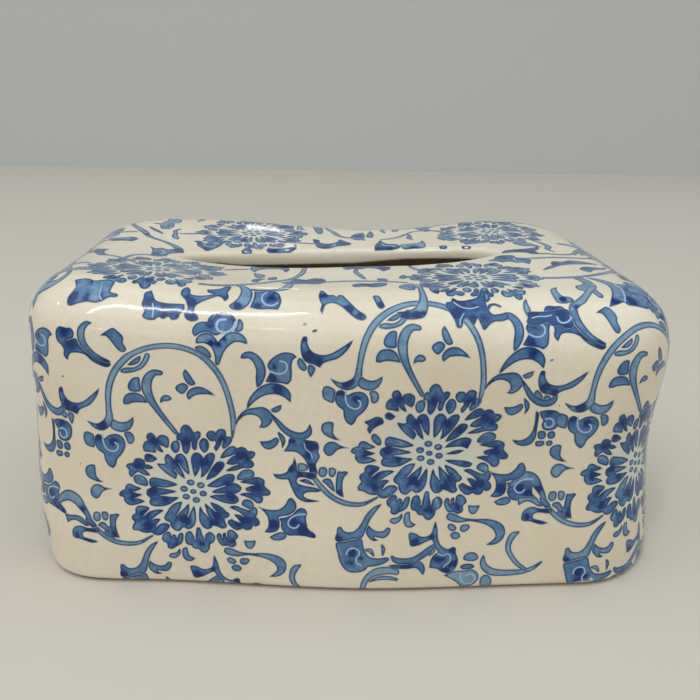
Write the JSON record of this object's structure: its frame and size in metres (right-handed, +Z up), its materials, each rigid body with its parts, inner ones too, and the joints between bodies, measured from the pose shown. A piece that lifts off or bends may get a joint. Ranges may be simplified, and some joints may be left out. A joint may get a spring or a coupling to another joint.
{
  "type": "tissue box cover",
  "caption": "Rounded rectangular glazed ceramic cover, open below, that drops over a flat tissue pack and lets tissues out through a pointed oval slot in its top.",
  "frame": {"origin": "on the table under the middle of the cover: the centre of the bounding box's bottom face", "axes": "+Z up, +X along the long side to the right as seen from the front, -Y towards the front"},
  "size_m": [0.259, 0.1692, 0.1233],
  "materials": {
    "glazed_ceramic": "glossy clear glaze over a cream body with blue underglaze flowers and scrolls",
    "strip_rubber": "matt dark grey foam rubber"
  },
  "bodies": {
    "root": {"cover_shell": "glazed_ceramic", "strip_front_left": "strip_rubber", "strip_front_right": "strip_rubber", "strip_rear_left": "strip_rubber", "strip_rear_right": "strip_rubber"}
  },
  "joints": []
}
